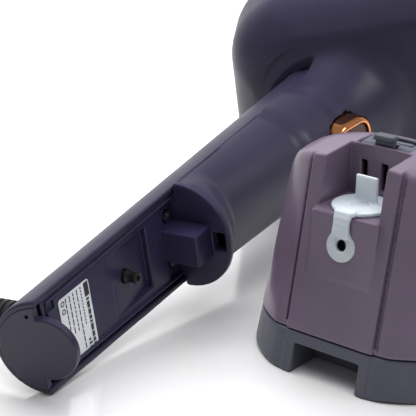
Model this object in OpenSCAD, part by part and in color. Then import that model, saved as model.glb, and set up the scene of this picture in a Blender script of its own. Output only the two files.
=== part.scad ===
// Handheld garment steamer: the handset lies on its side with its cord,
// and its water tank stands beside it. Units are millimetres.
// The handset is drawn in its own axes and then laid down: x runs across the
// handle, y points to the side that the tank clips to, z runs up the handle.
// The tank is drawn upright: x across its front, y into it, z up.

/* [Handle] */
// Length of the open bay that the tank fits into
bay_len = 84.6; // [80:0.2:90]
// Radius of the handle at its base
base_r = 18.2; // [17.6:0.1:19]
// Radius of the handle where it meets the head
root_r = 22.8; // [22:0.1:24]
// Radius of the bulkhead at the end of the bay
bulkhead_r = 21.5; // [21:0.1:22]
// Wall of the handle and head shells
wall = 2.2; // [1.8:0.1:2.6]
// Length of the rear half shell
rear_len = 191; // [186:1:194]
// Lean of the handle over the tank when docked
lean = 12.5; // [10:0.5:15]

/* [Head] */
// Distance up the handle of the head's flat underside
head_z = 203; // [200:1:208]
// Angle between the steam direction and square to the handle
head_tilt = 22; // [18:1:26]
// Half of the head's greatest width, at the plate end
head_half_w = 57; // [56:0.5:58]
// Distance from the handle's axis back to the rear of the head
head_back = 42.5; // [41:0.5:44]
// Distance from the handle's axis forward to the shell's front edge
head_front = 50; // [48:1:54]
// Height of the head
head_h = 76; // [72:1:80]
// Thickness of the steam plate
plate_t = 4; // [3:0.5:5]

/* [Trigger] */
// Width of the trigger button
trigger_w = 25; // [22:0.5:26]
// Length of the trigger button
trigger_l = 28; // [26:0.5:30]

/* [Tank] */
// Height of the tank's front face
face_h = 73.8; // [70:0.2:76]
// Width of the tank's front face
face_w = 35.3; // [34:0.1:37]
// Height of the grey base of the tank
band_h = 14.7; // [13:0.1:16]
// Height of the shelf with the filler hole
shelf_h = 58.2; // [56:0.2:60]
// Half width of the tank at its foot
tank_half_w = 45.5; // [44:0.5:47]
// Half width of the recess between the two shoulders
recess_half_w = 12; // [11.5:0.1:12.5]
// Depth of the recess, from the foot of the front face
recess_d = 31.5; // [30:0.5:33]
// Place of the tank
tank_place = "standing"; // [standing, docked]

/* [Cord] */
// Diameter of the mains cord
cord_d = 7; // [6:0.5:8]
// Outer radius of the coil that holds the spare cord
coil_r = 52.5; // [49:0.5:52.5]

/* [Resting place] */
// Rise of the handle above the surface, in degrees
rise = 8.5; // [8:0.1:9]
// Roll of the handle about its own length, in degrees
roll = 2.9; // [2.5:0.1:3.3]
// Turn of the tank from square to the handle, in degrees
tank_turn = -8.5; // [-10:0.5:-7]

/* [Hidden] */
$fn = 64;

// Colours
violet = [0.20, 0.19, 0.27];
bay_violet = [0.25, 0.23, 0.33];
plum = [0.38, 0.33, 0.40];
slate = [0.33, 0.34, 0.40];
black = [0.05, 0.05, 0.05];
copper = [0.78, 0.48, 0.33];
brown = [0.20, 0.13, 0.12];
silver = [0.75, 0.75, 0.76];
silicone = [0.86, 0.90, 0.93];

// Derived sizes
seam_n = -0.9;                        // plane of the seam between the handle's shells
floor_n = -2.2;                       // top of the bay's floor
floor_t = 2;                          // thickness of the bay's floor
probe_z = 51.5;                       // place of the probe along the bay
tongue_r = 11.6;                      // radius of the tongue on the base plate
slot_n = 16.6;                        // place of the latch slot on the bulkhead
slot_w = 7.4;                         // slot across the handle
slot_d = 5.2;                         // slot along the tank side
block_half_w = 6.3;                   // block at the end of the bay
block_n = 13.4;
block_len = 10;
trigger_z = 176;                      // middle of the trigger along the handle
trigger_n = 23.5;                     // trigger's base plane at its middle
trigger_slope = 11;                   // slope of the neck under the trigger
face_t = tan(lean);
hand_z = 18.1;                        // height of the handle's axis at its base
tank_x = 72.7;                        // tank's place beside the handle's base
tank_y = 56.9;
origin_x = 31.4;                      // from the handle's base to the frame's origin
origin_y = 143.8;

// Cord
cord_r = cord_d / 2;
boot_start = 18.6;                    // foot of the strain relief's boot, from the handle's axis
boot_len = 30;
cord_z = 11.5;                        // height of the cord's exit up the handle
coil_turns = [3, 2];                  // turns beside and above each other in the coil
coil_c = [-180, -82];
coil_in = coil_r - coil_turns[0] * cord_d;
coil_h = coil_turns[1] * cord_d;
plug_at = [-229, -44, 7.2];           // where the lead enters the plug
plug_boot = 22;
plug_len = 32;

function handle_r(z) = base_r + (root_r - base_r) * z / rear_len;

// Places a child drawn in the handset's axes into the row's frame
module handset() {
    translate([-origin_x, -origin_y, hand_z])
        rotate([rise, 0, 0])
            rotate([0, -90, -90])
                rotate([0, 0, -roll])
                    children();
}

// Places a child drawn in the head's axes: x across, y the steam direction, z up
module head() {
    handset()
        translate([0, 0, head_z])
            rotate([head_tilt, 0, 0])
                children();
}

// Places a child on the sloping seat of the trigger
module trigger_seat() {
    handset()
        translate([0, trigger_n, trigger_z])
            rotate([-trigger_slope, 0, 0])
                children();
}

// Places a child drawn in the tank's axes, standing or docked
module tank() {
    if (tank_place == "standing")
        translate([tank_x - origin_x, tank_y - origin_y, 0])
            rotate([0, 0, tank_turn])
                children();
    else
        handset()
            translate([0, 0.2, 0])
                rotate([lean, 0, 0])
                    children();
}

// Area vector of a ring of points, which tells the way round that it runs
function ring_normal(p) =
    let (fans = [for (i = [1:len(p) - 2]) cross(p[i] - p[0], p[i + 1] - p[0])])
    [for (k = [0:2]) [for (v = fans) v[k]] * [for (v = fans) 1]];

// A closed solid through rings of points, each ring a list of the same length
module loft(rings) {
    n = len(rings[0]);
    m = len(rings);
    forward = ring_normal(rings[0]) * (rings[1][0] - rings[0][0]) > 0;
    points = [for (ring = rings) for (p = ring) p];
    sides = [
        for (k = [0:m - 2])
            for (i = [0:n - 1])
                each [
                    [k * n + i, (k + 1) * n + i, (k + 1) * n + (i + 1) % n],
                    [k * n + i, (k + 1) * n + (i + 1) % n, k * n + (i + 1) % n]
                ]
    ];
    first = [[for (i = [0:n - 1]) i]];
    last = [[for (i = [0:n - 1]) (m - 1) * n + n - 1 - i]];
    faces = concat(first, sides, last);
    polyhedron(points, forward ? faces : [for (f = faces) [for (i = [len(f) - 1:-1:0]) f[i]]]);
}

// A blended shell, resolved as one surface
module blended() {
    resize([0, 0, 0]) children();
}

// A cylinder along y from y0 to y1
module rod_y(r, y0, y1) {
    translate([0, y1, 0]) rotate([90, 0, 0]) cylinder(r = r, h = y1 - y0);
}

// A box given by its corners
module block(low, high) {
    translate(low) cube(high - low);
}

// A plate with round corners, w by l, standing on z = 0
module rounded_plate(w, l, t, r) {
    linear_extrude(t)
        hull()
            for (x = [-1, 1], y = [-1, 1])
                translate([x * (w / 2 - r), y * (l / 2 - r)]) circle(r, $fn = 32);
}

// ---- Handle ----

// Solid of the handle's round rear half, inset by d
module handle_cone(d, from, to) {
    translate([0, 0, from])
        cylinder(r1 = handle_r(from) - d, r2 = handle_r(to) - d, h = to - from);
}

// Everything below the slanted end of the handle
module below_base() {
    rotate([lean, 0, 0]) translate([-60, -60, -60]) cube([120, 120, 60]);
}

// Half space on the rear side of the seam
module rear_half(from, to) {
    block([-40, -40, from], [40, seam_n, to]);
}

module rear_shell() {
    color(violet)
        handset()
            difference() {
                intersection() {
                    handle_cone(0, -8, rear_len);
                    rear_half(-8, rear_len);
                }
                handle_cone(wall, -9, rear_len + 1);
                below_base();
                translate([0, 0, 11.5]) rod_y(4.2, -30, -10);
            }
}

// The slanted end of the handle, with the round tongue that keys into the tank
module base_plate() {
    color(violet)
        handset()
            rotate([lean, 0, 0])
                difference() {
                    union() {
                        rotate([-lean, 0, 0])
                            intersection() {
                                handle_cone(wall + 0.05, -8, 12);
                                rotate([lean, 0, 0]) block([-20, -24, 0], [20, floor_n, 3.2]);
                            }
                        cylinder(r = tongue_r, h = 3.2);
                    }
                    block([-0.5, 8, -1], [0.5, 9, 0.3]);
                }
}

// Outline of the bay's floor, a little wider towards the head
function bay_half_w(z) = 15.4 + 2.1 * z / bay_len;

module bay_floor_outline(low, high, inset) {
    polygon([
        [-bay_half_w(low) + inset, low], [bay_half_w(low) - inset, low],
        [bay_half_w(high) - inset, high], [-bay_half_w(high) + inset, high]
    ]);
}

// Sheet between two heights across the bay, from n0 to n1
module bay_sheet(low, high, inset, n0, n1) {
    translate([0, n1, 0])
        rotate([90, 0, 0])
            linear_extrude(n1 - n0) bay_floor_outline(low, high, inset);
}

// Floor of the bay with its rim ridge, wedge recess and screw wells
module bay_plate() {
    color(bay_violet)
        handset()
            difference() {
                union() {
                    bay_sheet(4.4, bay_len, 0, floor_n - floor_t, floor_n);
                    difference() {
                        bay_sheet(4.4, bay_len, 0.9, floor_n - 1, floor_n + 0.7);
                        bay_sheet(5.2, bay_len + 1, 1.7, floor_n - 2, floor_n + 1);
                    }
                    block([-block_half_w, floor_n - 1, bay_len - block_len],
                          [block_half_w, block_n, bay_len]);
                    block([-13.4, floor_n - 3, 42], [13.4, floor_n - 1, 68]);
                }
                rotate([90, 0, 90])
                    translate([0, 0, -12.2])
                        linear_extrude(24.4)
                            polygon([[floor_n + 2, 43.4], [floor_n + 0.05, 43.4],
                                     [floor_n - 1.8, 66], [floor_n + 2, 66]]);
                translate([0, 0, probe_z]) rod_y(2.6, floor_n - 4, floor_n + 2);
                for (x = [-1, 1])
                    translate([x * 9.5, 0, bay_len - 3.6]) {
                        rod_y(2.2, floor_n - 1.6, floor_n + 2);
                        rod_y(1.3, floor_n - 5, floor_n);
                    }
                block([-13.2, floor_n - 1, 6], [-9.8, floor_n + 1, 11]);
                block([9.8, floor_n - 1, 6], [13.2, floor_n + 1, 11]);
            }
}

// Wall at the end of the bay, with the slot for the tank's latch
module bulkhead() {
    color(bay_violet)
        handset()
            difference() {
                union() {
                    intersection() {
                        translate([0, 0, bay_len]) cylinder(r = bulkhead_r, h = 2.4);
                        block([-30, seam_n, bay_len], [30, 30, bay_len + 3]);
                    }
                    intersection() {
                        translate([0, 0, bay_len]) cylinder(r = 18, h = 2.4);
                        block([-30, -12, bay_len], [30, 1, bay_len + 3]);
                    }
                }
                block([-slot_w / 2, slot_n - slot_d / 2, bay_len - 1],
                      [slot_w / 2, slot_n + slot_d / 2, bay_len + 5]);
                translate([6, -8.2, bay_len - 1]) cylinder(r = 2.6, h = 6);
            }
}

module rating_label() {
    color("white")
        handset()
            translate([0, floor_n + 0.1, 21.5])
                rotate([90, 0, 0])
                    rounded_plate(27, 17, 0.1, 1.2);
}

module bay_screws() {
    color(black)
        handset()
            for (x = [-1, 1])
                translate([x * 9.5, 0, bay_len - 3.6])
                    difference() {
                        union() {
                            rod_y(2.1, floor_n - 1.6, floor_n - 0.5);
                            rod_y(1.2, floor_n - 9, floor_n - 1.6);
                        }
                        block([-1.3, floor_n - 1, -0.25], [1.3, floor_n, 0.25]);
                        block([-0.25, floor_n - 1, -1.3], [0.25, floor_n, 1.3]);
                    }
}

// Hollow nipple that opens the tank's valve and draws water from it
module inlet_probe() {
    color(black)
        handset()
            translate([0, 0, probe_z])
                rotate([-90, 0, 0])
                    difference() {
                        union() {
                            translate([0, 0, floor_n]) cylinder(r1 = 3.5, r2 = 2.7, h = 4.4);
                            translate([0, 0, floor_n + 4.4]) cylinder(r1 = 3, r2 = 2.6, h = 2.2);
                            translate([0, 0, floor_n - 5.5]) cylinder(r = 2.5, h = 5.5);
                        }
                        translate([0, 0, floor_n - 6]) cylinder(r = 1, h = 13);
                    }
}

// A soft pipe along a smooth route through points
module hose(points, r, bore) {
    centre = route(points, 4);
    blended()
        difference() {
            swept(centre, r, 10, [1, 0, 0]);
            swept(extended(centre, 1), bore, 8, [1, 0, 0]);
        }
}

module inlet_hose() {
    color([0.8, 0.8, 0.78])
        handset()
            hose([[0, -7.75, probe_z], [0, -10, 51.7], [0.2, -12.2, 54], [0.8, -13, 58.5],
                  [4, -11.6, 66], [6, -9, 74], [6, -8.2, 81], [6, -8.2, 88], [3.2, -6.2, 95],
                  [0.2, -4.1, 101], [0, -4, 103.8]], 2.3, 1);
}

module pump_body() {
    color([0.9, 0.88, 0.82])
        handset()
            translate([0, -4, 104])
                difference() {
                    union() {
                        cylinder(r = 4, h = 6);
                        translate([0, 0, 6]) cylinder(r = 6.5, h = 30);
                        translate([0, 0, 36]) cylinder(r = 3.5, h = 5);
                    }
                    translate([0, 0, 8]) cylinder(r = 4.05, h = 27);
                    translate([0, 0, -1]) cylinder(r = 1, h = 50);
                }
}

module pump_plunger() {
    color(silver)
        handset()
            translate([0, -4, 116])
                difference() {
                    cylinder(r = 4, h = 18);
                    translate([0, 0, 14]) cylinder(r = 2.8, h = 5);
                    translate([0, 0, -1]) cylinder(r = 0.8, h = 20);
                }
}

// A round wire coil between two heights, drawn as stacked rings joined in one tube
module coil_spring(r, wire, h, turns) {
    rings = [
        for (k = [0:turns * 12])
            let (a = k * 30, z = wire + (h - 2 * wire) * k / (turns * 12))
            [
                for (j = [0:5])
                    [(r + wire * cos(60 * j)) * cos(a),
                     (r + wire * cos(60 * j)) * sin(a),
                     z + wire * sin(60 * j)]
            ]
    ];
    loft(rings);
}

module pump_spring() {
    color(silver)
        handset() translate([0, -4, 130.2]) coil_spring(2.2, 0.3, 8.6, 5);
}

module pump_coil() {
    color(copper)
        handset()
            translate([0, -4, 113])
                difference() {
                    union() {
                        cylinder(r = 11, h = 20);
                        translate([-9, -11.5, -1]) cube([18, 23, 1]);
                        translate([-9, -11.5, 20]) cube([18, 23, 1]);
                    }
                    translate([0, 0, -2]) cylinder(r = 6.55, h = 24);
                }
}

module outlet_hose() {
    color([0.8, 0.8, 0.78])
        handset()
            hose([[0, -4, 145.4], [0.2, -4, 150], [7, -4, 160], [8, -4, 172], [8, -4, 196],
                  [8, -3, 214], [8, 1.5, 226], [8, 9.3, 233.2], [8, 20.2, 237.6]], 2.3, 1);
}

module circuit_board() {
    color([0.1, 0.35, 0.2])
        handset() {
            block([-11, -15, 150], [11, -13.4, 186]);
            block([-8, -13.4, 158], [-1, -8, 168]);
            block([-6, -13.4, 172], [6, -10, 180]);
        }
}

module handle_screws() {
    color(silver)
        handset()
            for (z = [96, 146])
                translate([0, 0, z]) {
                    rod_y(2.6, -18, -16.6);
                    rod_y(1.3, -16.6, -9.5 + (z > 100 ? -6 : 0));
                }
}

// ---- Trigger and its switch ----

module trigger_frame() {
    color(copper)
        trigger_seat()
            rotate([-90, 0, 0])
                difference() {
                    translate([0, 0, -3]) rounded_plate(trigger_w, trigger_l, 7, 6);
                    translate([0, 0, 2.4])
                        rounded_plate(trigger_w - 6, trigger_l - 6, 3, 4);
                    translate([0, 0, -4])
                        rounded_plate(trigger_w - 4, trigger_l - 4, 5, 5);
                }
}

module trigger_insert() {
    color(brown)
        trigger_seat()
            rotate([-90, 0, 0])
                translate([0, 0, 2.4])
                    rounded_plate(trigger_w - 6.2, trigger_l - 6.2, 1, 3.9);
}

module trigger_spring() {
    color(silver)
        trigger_seat()
            rotate([-90, 0, 0])
                translate([0, -9, -8]) coil_spring(2.2, 0.3, 8.6, 4);
}

module switch_body() {
    color(black)
        trigger_seat()
            difference() {
                block([-5, -16, -2], [5, -8.3, 7]);
                block([-1.5, -14.2, 1], [1.5, -8, 5]);
            }
}

module switch_button() {
    color("red")
        trigger_seat() block([-1.45, -10.8, 1.05], [1.45, 0.95, 4.95]);
}

// ---- Head ----

// Outline of the head square to the steam direction: a squared oval
function head_ring(y, a, lo, hi, n) = [
    for (i = [0:n - 1])
        let (t = 360 * i / n, c = cos(t), s = sin(t), k = 0.78)
        [a * sign(c) * pow(abs(c), k), y, (lo + hi) / 2 + (hi - lo) / 2 * sign(s) * pow(abs(s), k)]
];

// Half width of the head at a distance y along the steam direction, inset by d
function head_a(y, d) =
    let (u = max(0, min(1, (y + head_back - d) / 34)))
    (51 - d) * pow(1 - pow(1 - u, 2.4), 1 / 2.4) + 0.12 * max(0, y);

// Underside and top of the head at y, inset by d
function head_lo(y, d) =
    let (u = max(0, min(1, (y + head_back - d) / 14)))
    d + 22 * (1 - pow(1 - pow(1 - u, 2), 0.5));
function head_hi(y, d) =
    let (u = max(0, min(1, (y + head_back - d) / 40)))
    head_h - d - 30 * (1 - pow(1 - pow(1 - u, 2.2), 1 / 2.2));

module head_body(d, front) {
    ys = [for (s = [0.6, 2, 5, 9, 14, 21, 30]) -head_back + d + s];
    loft([
        for (y = concat(ys, [0, 25, front]))
            head_ring(y, head_a(y, d), head_lo(y, d), head_hi(y, d), 40)
    ]);
}

// Flared neck between the handle and the head's underside, inset by d
module neck(d) {
    hull() {
        translate([0, 0, 160]) cylinder(r = handle_r(160) - d, h = 1, $fn = 32);
        translate([0, 0.5, 184]) cylinder(r = 24.4 - d, h = 1, $fn = 32);
    }
    hull() {
        translate([0, 0.5, 184]) cylinder(r = 24.4 - d, h = 1, $fn = 32);
        translate([0, 0, head_z])
            rotate([head_tilt, 0, 0])
                translate([0, 4.5, 0]) cylinder(r = 30 - d, h = 4, $fn = 32);
    }
}

// Half depth of the front of the grip at height z: it narrows behind the bulkhead's rim
grip_start = bay_len + 2.4;
waist_z = 100;
function grip_n(z) =
    z < waist_z ? 18.4 + 2.8 * cos(180 * (z - grip_start) / (waist_z - grip_start))
    : z < 125 ? 15.6 + 2.7 * (z - waist_z) / (125 - waist_z)
    : 18.3 + 3.9 * (z - 125) / 55;

// Front half of the grip, inset by d
module grip_front(d, from, to) {
    zs = concat([from], [for (z = [89:2:99]) z], [for (z = [104:10:174]) z], [to]);
    loft([
        for (z = zs)
            [
                for (i = [0:31])
                    let (t = 180 * i / 31, zc = max(z, grip_start))
                    [(handle_r(zc) - d) * cos(t), (grip_n(zc) - d) * sin(t) + seam_n, z]
            ]
    ]);
}

// One moulding: front of the grip, neck and head
module main_shell() {
    color(violet)
        handset()
            blended()
                difference() {
                    union() {
                        grip_front(0, grip_start, 183);
                        neck(0);
                        translate([0, 0, head_z])
                            rotate([head_tilt, 0, 0]) head_body(0, head_front);
                    }
                    grip_front(wall, bay_len + 1, 184);
                    neck(wall);
                    translate([0, 0, head_z])
                        rotate([head_tilt, 0, 0]) head_body(wall, head_front + 1);
                    intersection() {
                        handle_cone(-0.05, 80, rear_len + 0.2);
                        rear_half(80, rear_len + 0.2);
                    }
                    translate([0, 0, 150]) cylinder(r = 18, h = 60);
                    block([-slot_w / 2, slot_n - slot_d / 2, 80], [slot_w / 2, slot_n + slot_d / 2, 88.7]);
                    translate([0, trigger_n, trigger_z])
                        rotate([-trigger_slope - 90, 0, 0])
                            translate([0, 0, -12])
                                rounded_plate(trigger_w + 0.8, trigger_l + 0.8, 30, 6.4);
                }
}

plate_half_w = 51;
plate_half_h = 32.5;
plate_mid = head_h / 2;

// Squared oval of the steam plate, drawn in the plane square to the steam
module plate_oval(inset) {
    polygon([
        for (i = [0:47])
            let (t = 7.5 * i, c = cos(t), s = sin(t), k = 0.78)
            [(plate_half_w - inset) * sign(c) * pow(abs(c), k),
             (plate_half_h - inset) * sign(s) * pow(abs(s), k)]
    ]);
}

// Places a flat part square to the steam, with its back at y
module facing(y) {
    head()
        translate([0, y, plate_mid])
            rotate([90, 0, 0])
                mirror([0, 0, 1])
                    children();
}

module plate_bezel() {
    color([0.12, 0.11, 0.15])
        facing(head_front + 0.05)
            difference() {
                linear_extrude(5)
                    polygon([for (p = head_ring(0, head_half_w - 0.4, -head_h / 2 + 0.4,
                                                head_h / 2 - 0.4, 48)) [p[0], p[2]]]);
                translate([0, 0, -1]) linear_extrude(8) plate_oval(0);
            }
}

module steam_plate() {
    color(silver)
        facing(head_front + 2)
            difference() {
                linear_extrude(plate_t) plate_oval(0.3);
                for (ring = [0, 1])
                    for (i = [0:11])
                        translate([(38 - 15 * ring) * cos(30 * i + 15 * ring),
                                   (22 - 9 * ring) * sin(30 * i + 15 * ring), -1])
                            cylinder(r = 1.6, h = plate_t + 2);
            }
}

module heat_shield() {
    color(black)
        facing(head_front - 3)
            difference() {
                linear_extrude(3) plate_oval(0.6);
                translate([0, 0, -1]) linear_extrude(5) plate_oval(6);
            }
}

// Places of the screws round the chamber's rim
module chamber_screw_places() {
    for (x = [-1, 1], y = [-1, 1]) translate([x * 31.3, y * 17.2, 0]) children();
}

module steam_chamber() {
    color([0.66, 0.66, 0.68])
        facing(head_front - 14)
            difference() {
                linear_extrude(16) plate_oval(8);
                translate([0, 0, -1]) linear_extrude(12) plate_oval(12);
                chamber_screw_places() translate([0, 0, -1]) cylinder(r = 1.3, h = 6);
                for (i = [0:7])
                    translate([26 * cos(45 * i), 13 * sin(45 * i), 10]) cylinder(r = 2, h = 7);
            }
}

module chamber_gasket() {
    color([0.7, 0.2, 0.15])
        facing(head_front - 15)
            difference() {
                linear_extrude(1) plate_oval(8.5);
                translate([0, 0, -1]) linear_extrude(3) plate_oval(12);
                chamber_screw_places() translate([0, 0, -1]) cylinder(r = 1.3, h = 3);
            }
}

module chamber_cover() {
    color([0.6, 0.6, 0.62])
        facing(head_front - 18)
            difference() {
                linear_extrude(3) plate_oval(8.5);
                translate([8, -13.5, -1]) cylinder(r = 2.4, h = 5);
                chamber_screw_places() translate([0, 0, -1]) cylinder(r = 1.3, h = 5);
            }
}

// U-shaped heating rod against the chamber's cover, with two terminals
module heating_element() {
    leg = 15;
    color([0.35, 0.3, 0.28])
        facing(head_front - 25) {
            difference() {
                union() {
                    for (x = [-1, 1])
                        translate([x * leg, -6, 3.5])
                            rotate([-90, 0, 0]) cylinder(r = 3.3, h = 12, $fn = 32);
                    translate([0, 6, 3.5])
                        rotate_extrude(angle = 180) translate([leg, 0]) circle(3.3, $fn = 32);
                }
                translate([-40, -7, 6.9]) cube([80, 40, 4]);
            }
            for (x = [-1, 1])
                translate([x * leg - 3, -16, 2.7]) cube([6, 10.1, 1.6]);
        }
}

module thermostat() {
    color([0.85, 0.82, 0.7])
        facing(head_front - 26) {
            translate([-4.5, -17, 0]) cylinder(r = 6, h = 8);
            translate([-10, -18.5, 5]) cube([12, 3, 1]);
        }
}

module thermal_fuse() {
    color(silver)
        facing(head_front - 22)
            translate([-9, 1, 1.8]) rotate([0, 90, 0]) cylinder(r = 1.8, h = 18);
}

module plate_screws() {
    color(silver)
        facing(head_front - 20)
            chamber_screw_places() {
                cylinder(r = 2.6, h = 2);
                translate([0, 0, 2]) cylinder(r = 1.3, h = 8.6);
            }
}

// ---- Cord ----

module strain_relief() {
    color(black)
        handset()
            translate([0, 0, cord_z])
                rotate([90, 0, 0])
                    difference() {
                        union() {
                            translate([0, 0, 12]) cylinder(r = 4.1, h = boot_start - 12);
                            translate([0, 0, 12]) cylinder(r = 6, h = 1.6);
                            translate([0, 0, boot_start])
                                cylinder(r1 = 5.6, r2 = 4.3, h = boot_len);
                        }
                        translate([0, 0, 10]) cylinder(r = cord_r, h = boot_len + 20);
                    }
}

module cord_clamp() {
    color([0.9, 0.88, 0.82])
        handset()
            block([-8, -11, 6.5], [8, -7.4, 16.5]);
}

// Where a point of the handset lies in the row's frame
function laid(p) =
    let (c = cos(-roll), s = sin(-roll), q = [p[0] * c - p[1] * s, p[0] * s + p[1] * c, p[2]])
    [q[1] - origin_x,
     -q[0] * sin(rise) + q[2] * cos(rise) - origin_y,
     q[0] * cos(rise) + q[2] * sin(rise) + hand_z];

// Centre line of the free cord, from the clamp to the coil's outer turn
boot_end = boot_start + boot_len;
cord_free = [
    laid([0, -11.1, cord_z]), laid([0, -24, cord_z]), laid([0, -37, cord_z]),
    laid([0, -boot_end, cord_z]), laid([0, -boot_end - 8, cord_z]),
    [-98, -132.5, 14.2], [-109, -133, 9.9], [-120, -133.5, 6], [-131, -133.5, 3.9],
    [-143, -133, 3.5], [-156, -132, 3.5], [-168, -131.2, 3.5], [-180, -131, 3.5]
];

// Centre line of the lead from the coil's last turn to the plug
cord_lead = [
    [-229, -82, 10.5], [-229, -72, 9.9], [-229, -62, 8.3], [-229, -54, 7.3], [-229, -49, 7.2],
    plug_at
];

function spline(p, i, t) =
    let (n = len(p) - 1, a = p[max(i - 1, 0)], b = p[i], c = p[i + 1], d = p[min(i + 2, n)])
    0.5 * (2 * b + (c - a) * t + (2 * a - 5 * b + 4 * c - d) * t * t
        + (3 * b - a - 3 * c + d) * t * t * t);
function route(p, steps) = concat(
    [for (i = [0:len(p) - 2]) for (k = [0:steps - 1]) spline(p, i, k / steps)],
    [p[len(p) - 1]]
);
function unit(v) = v / norm(v);

// A route carried on straight by d at both ends
function extended(p, d) =
    let (n = len(p) - 1)
    concat([p[0] + d * unit(p[0] - p[1])], p, [p[n] + d * unit(p[n] - p[n - 1])]);
function tube_ring(p, i, r, n, up_axis) =
    let (
        d = unit(p[min(i + 1, len(p) - 1)] - p[max(i - 1, 0)]),
        side = unit(cross(d, up_axis)),
        up = cross(side, d)
    )
    [for (k = [0:n - 1]) p[i] + r * (side * cos(360 * k / n) + up * sin(360 * k / n))];

// A round tube swept along a route that never runs along up_axis
module swept(p, r, n, up_axis = [0, 0, 1]) {
    loft([for (i = [0:len(p) - 1]) tube_ring(p, len(p) - 1 - i, r, n, up_axis)]);
}

module power_cord() {
    color(black) swept(route(cord_free, 3), cord_r, 10);
}

// Ring of the wound cord, grown by d
module coil_ring(d) {
    translate([coil_c[0], coil_c[1], 0])
        rotate_extrude($fn = 96)
            translate([coil_in - d, 0]) square([coil_r - coil_in + 2 * d, coil_h + d]);
}

module cord_coil() {
    color(black) coil_ring(0);
}

// Soft tie round the coil on the side towards the handset
module cord_tie() {
    color([0.15, 0.15, 0.15])
        difference() {
            intersection() {
                coil_ring(1.2);
                block([coil_c[0], coil_c[1] - 5, 0], [coil_c[0] + 60, coil_c[1] + 5, 20]);
            }
            coil_ring(0);
        }
}

module plug_lead() {
    color(black) swept(route(cord_lead, 3), cord_r, 10);
}

// Places a child on the plug: z runs from the lead to the pins
module plug() {
    translate(plug_at) rotate([-90, 0, 0]) children();
}

module plug_body() {
    color(black)
        plug() {
            cylinder(r1 = 4.6, r2 = 6.4, h = plug_boot);
            translate([0, 0, plug_boot])
                hull()
                    for (x = [-1, 1], y = [-1, 1])
                        translate([x * 10, y * 4.1, 0]) cylinder(r = 3, h = plug_len, $fn = 32);
        }
}

module plug_pins() {
    color(silver)
        plug()
            for (x = [-1, 1])
                translate([x * 6.35 - 0.75, -3.2, plug_boot + plug_len]) cube([1.5, 6.4, 17]);
}

// ---- Tank ----

// Outline of the tank at height z, inset by d, with its front cut flat
function tank_ring(z, d, front, n) = [
    for (i = [0:n - 1])
        let (
            t = 360 * i / n,
            a = tank_half_w - 0.16 * z - d,
            b = sin(t) < 0 ? 37 - 0.256 * z - d : 25 - 0.09 * z - d,
            k = sin(t) < 0 ? 1 : 0.86,
            y = 33 + b * sign(sin(t)) * pow(abs(sin(t)), k)
        )
        [a * sign(cos(t)) * pow(abs(cos(t)), k), max(y, z * face_t + front + d), z]
];

// Outside of the tank from z0 to z1, with its top sloping up to the rear
module tank_body(d, front, z0, z1) {
    intersection() {
        loft([for (z = [z0, (z0 + z1) / 2, z1]) tank_ring(z, d, front, 56)]);
        tank_top(d);
    }
}

// Everything under the sloping, round-shouldered top
module tank_top(d) {
    hull()
        for (s = [0, 1, 2, 3])
            let (r = 16, q = 30 * s)
            translate([0, face_h * face_t - 12, face_h - 3.4 - r + r * sin(q) - d])
                rotate([9, 0, 0])
                    linear_extrude(0.1)
                        scale([1 - (1 - cos(q)) * 0.42, 1])
                            polygon([[-38, 0], [38, 0], [38, 60], [-38, 60]]);
    block([-60, -20, -5], [60, 80, 50]);
}

// Slab of the front face between two heights, from the face plane into the tank
module face_slab(half_w, z0, z1, depth) {
    rotate([90, 0, 90])
        translate([0, 0, -half_w])
            linear_extrude(2 * half_w)
                polygon([[z0 * face_t, z0], [z0 * face_t + depth, z0],
                         [z1 * face_t + depth, z1], [z1 * face_t, z1]]);
}

wedge_z = 35;                         // foot of the wedge that carries the outlet
wedge_top = shelf_h - 0.1;

// Front of the wedge at height z
function wedge_y(z) = z * face_t - 2.4 * (z - wedge_z) / (shelf_h - wedge_z);

// Wedge on the front face that carries the outlet
module outlet_wedge() {
    half_w = recess_half_w + 1.4;
    rotate([90, 0, 90])
        translate([0, 0, -half_w])
            linear_extrude(2 * half_w)
                polygon([[wedge_y(wedge_z) + 0.1, wedge_z - 0.3], [wedge_y(wedge_z) + 8, wedge_z],
                         [wedge_y(wedge_top) + 8, wedge_top], [wedge_y(wedge_top), wedge_top]]);
}

// Recess between the shoulders, grown by d
module tank_recess(d) {
    block([-recess_half_w - d, -5, shelf_h - d], [recess_half_w + d, recess_d + d, 95]);
}

fill_y = 21;                          // place of the filler hole on the shelf
outlet_z = 48;                        // height of the outlet on the wedge
latch_y = 35;                         // place of the latch hook
latch_z = 77;                         // underside of the latch plate

module tank_shell() {
    color(plum)
        tank()
            blended()
                difference() {
                    union() {
                        tank_body(0, 0.9, band_h - 2, 90);
                        intersection() {
                            face_slab(face_w / 2, band_h - 2, face_h, 6);
                            tank_top(0);
                        }
                        outlet_wedge();
                    }
                    block([-60, -20, 0], [60, 90, band_h]);
                    difference() {
                        tank_body(2.2, 0.9, band_h - 3, 84);
                        tank_recess(2);
                        translate([0, outlet_z * face_t, outlet_z])
                            rotate([-lean - 90, 0, 0]) cylinder(r = 7, h = 14);
                        block([-13, latch_y - 4, 60], [13, latch_y + 11, 90]);
                    }
                    tank_recess(0);
                    translate([0, fill_y, shelf_h - 5]) cylinder(r = 5, h = 6);
                    translate([0, outlet_z * face_t, outlet_z])
                        rotate([-lean - 90, 0, 0]) translate([0, 0, -4]) cylinder(r = 4.6, h = 20);
                    block([-10.4, latch_y - 2.6, 70], [10.4, latch_y + 9, 95]);
                    for (x = [-5.6, 3.2])
                        block([x, recess_d - 1, 64], [x + 2.4, recess_d + 1.2, 72]);
                }
}

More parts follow.
